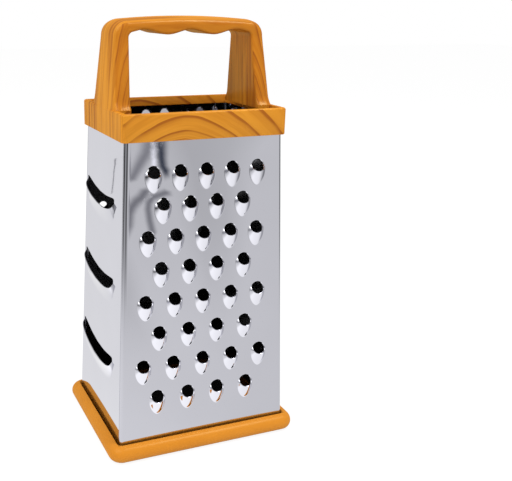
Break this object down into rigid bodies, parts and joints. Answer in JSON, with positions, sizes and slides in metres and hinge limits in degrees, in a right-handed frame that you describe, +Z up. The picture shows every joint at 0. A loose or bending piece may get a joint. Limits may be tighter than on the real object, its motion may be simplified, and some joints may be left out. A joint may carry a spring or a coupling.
{
  "type": "box grater",
  "caption": "Tapered box grater of bright steel with coarse, medium, fine and slicing faces, an arch handle with finger waves on a collar, and a bumper ring round the foot.",
  "frame": {"origin": "middle of the base ring's underside, where the grater stands", "axes": "+Z up, -Y out of the coarse face, -X out of the slicing face, +Y out of the medium face, +X out of the fine face"},
  "size_m": [0.113, 0.0916, 0.2356],
  "materials": {
    "steel": "bright polished stainless steel sheet",
    "wood_print": "glossy plastic with a printed wood grain",
    "bumper": "semi-gloss orange plastic"
  },
  "bodies": {
    "root": {"coarse_panel": "steel", "fine_panel": "steel", "medium_panel": "steel", "slicing_panel": "steel", "base_ring": "bumper", "handle": "wood_print"}
  },
  "joints": []
}
